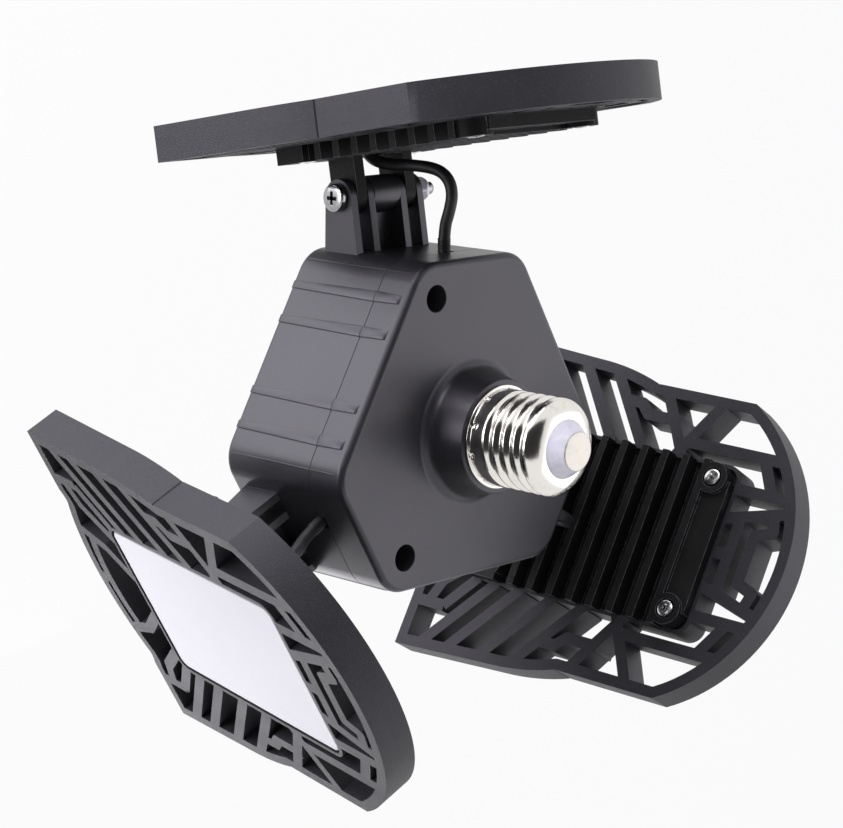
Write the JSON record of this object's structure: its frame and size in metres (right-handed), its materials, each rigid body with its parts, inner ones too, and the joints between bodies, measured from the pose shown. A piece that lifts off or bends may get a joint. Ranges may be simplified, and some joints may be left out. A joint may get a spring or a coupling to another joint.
{
  "type": "folding garage ceiling light",
  "caption": "Screw-in ceiling lamp: a flat-sided housing behind the cap carries tilting grille-framed light panels on friction hinges.",
  "frame": {"origin": "on the axis of the screw cap, in the middle of its plain skirt", "axes": "+Z along the cap axis, out of the cap towards its centre contact; +Y towards the first leaf; X completes the right-handed frame"},
  "size_m": [0.2099, 0.1889, 0.1251],
  "materials": {
    "housing_plastic": "fine moulded satin black",
    "cover_plastic": "moulded satin black",
    "cap_metal": "nickel plated sheet, bright",
    "cap_insulator": "milky insulator",
    "contact_metal": "nickel plated",
    "dark_screws": "blackened",
    "circuit_board": "green solder mask",
    "can_black": "sleeved can",
    "ferrite": "sintered core",
    "chip_black": "moulded package",
    "wire_jacket": "soft jacket",
    "bolt_steel": "bright zinc plate",
    "cable_jacket": "satin black jacket",
    "leaf_paint": "fine sand texture, satin black",
    "sink_paint": "black anodised, matt",
    "lamp_board": "white solder mask",
    "emitter": "phosphor yellow",
    "diffuser_white": "milky translucent plate"
  },
  "bodies": {
    "housing": {"front_housing": "housing_plastic", "rear_cover": "cover_plastic", "cap_shell": "cap_metal", "cap_insulator": "cap_insulator", "cap_contact": "contact_metal", "cover_screws": "dark_screws", "driver_board": "circuit_board", "board_screws": "dark_screws", "driver_capacitors": "can_black", "driver_transformer": "ferrite", "driver_chips": "chip_black", "contact_wire": "wire_jacket", "shell_wire": "wire_jacket", "hinge_bolt_1": "bolt_steel", "hinge_nut_1": "bolt_steel", "cable_1": "cable_jacket", "cable_sleeve_1": "cable_jacket", "hinge_bolt_2": "bolt_steel", "hinge_nut_2": "bolt_steel", "cable_2": "cable_jacket", "cable_sleeve_2": "cable_jacket", "hinge_bolt_3": "bolt_steel", "hinge_nut_3": "bolt_steel", "cable_3": "cable_jacket", "cable_sleeve_3": "cable_jacket"},
    "leaf_1": {"leaf_frame_1": "leaf_paint", "heat_sink_1": "sink_paint", "led_board_1": "lamp_board", "led_chips_1": "emitter", "diffuser_1": "diffuser_white", "sink_screws_1": "bolt_steel"},
    "leaf_2": {"leaf_frame_2": "leaf_paint", "heat_sink_2": "sink_paint", "led_board_2": "lamp_board", "led_chips_2": "emitter", "diffuser_2": "diffuser_white", "sink_screws_2": "bolt_steel"},
    "leaf_3": {"leaf_frame_3": "leaf_paint", "heat_sink_3": "sink_paint", "led_board_3": "lamp_board", "led_chips_3": "emitter", "diffuser_3": "diffuser_white", "sink_screws_3": "bolt_steel"}
  },
  "joints": [
    {"name": "leaf_1_tilt", "type": "hinge", "parent": "housing", "child": "leaf_1", "pos_m": [0, 0.06184, -0.04827], "axis": [-1, 0, 0], "range_deg": [-9.9, 80.1], "deforming": ["cable_1"]},
    {"name": "leaf_2_tilt", "type": "hinge", "parent": "housing", "child": "leaf_2", "pos_m": [-0.05355, -0.03092, -0.04827], "axis": [0.5, -0.866, 0], "range_deg": [-8.9, 81.1], "deforming": ["cable_2"]},
    {"name": "leaf_3_tilt", "type": "hinge", "parent": "housing", "child": "leaf_3", "pos_m": [0.05355, -0.03092, -0.04827], "axis": [0.5, 0.866, 0], "range_deg": [-6.7, 83.3], "deforming": ["cable_3"]}
  ]
}
